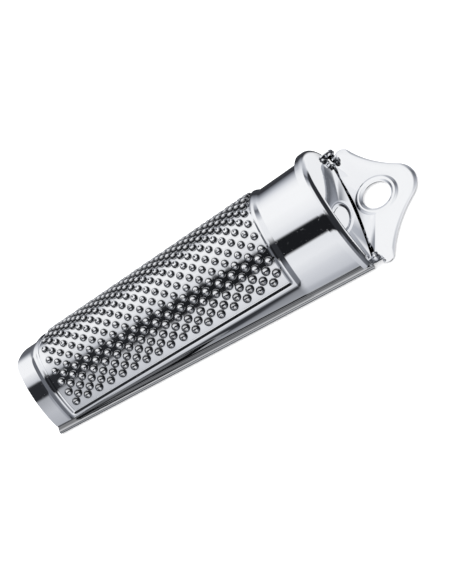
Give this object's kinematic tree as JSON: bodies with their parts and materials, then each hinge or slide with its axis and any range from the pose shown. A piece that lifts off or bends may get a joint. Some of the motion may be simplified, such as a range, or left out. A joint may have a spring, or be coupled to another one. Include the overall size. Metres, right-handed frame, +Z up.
{
  "type": "nutmeg grater",
  "caption": "Hand-held half-round nutmeg grater with pierced teeth, a storage compartment under a hinged lid, and a flat hanger plate with a hanging hole.",
  "frame": {"origin": "on the back plane, under the middle of the overall length", "axes": "+X along the grater from the narrow end to the hanger, +Z up from the back plane to the crown, +Y across"},
  "size_m": [0.1412, 0.047, 0.0258],
  "materials": {
    "polished_steel": "mirror-polished stainless steel",
    "toothed_steel": "polished stainless steel with raw pierced edges",
    "pin_steel": "bright stainless rivet"
  },
  "bodies": {
    "grater": {"grater_shell": "polished_steel", "grating_insert": "toothed_steel", "compartment_back": "polished_steel", "bulkhead": "polished_steel", "hanger": "polished_steel"},
    "lid": {"lid": "polished_steel", "hinge_pin_left": "pin_steel", "hinge_pin_right": "pin_steel"}
  },
  "joints": [
    {"name": "lid_hinge", "type": "hinge", "parent": "grater", "child": "lid", "pos_m": [0.04966, 0, 0.00326], "axis": [0, 1, 0], "range_deg": [0, 104]}
  ]
}
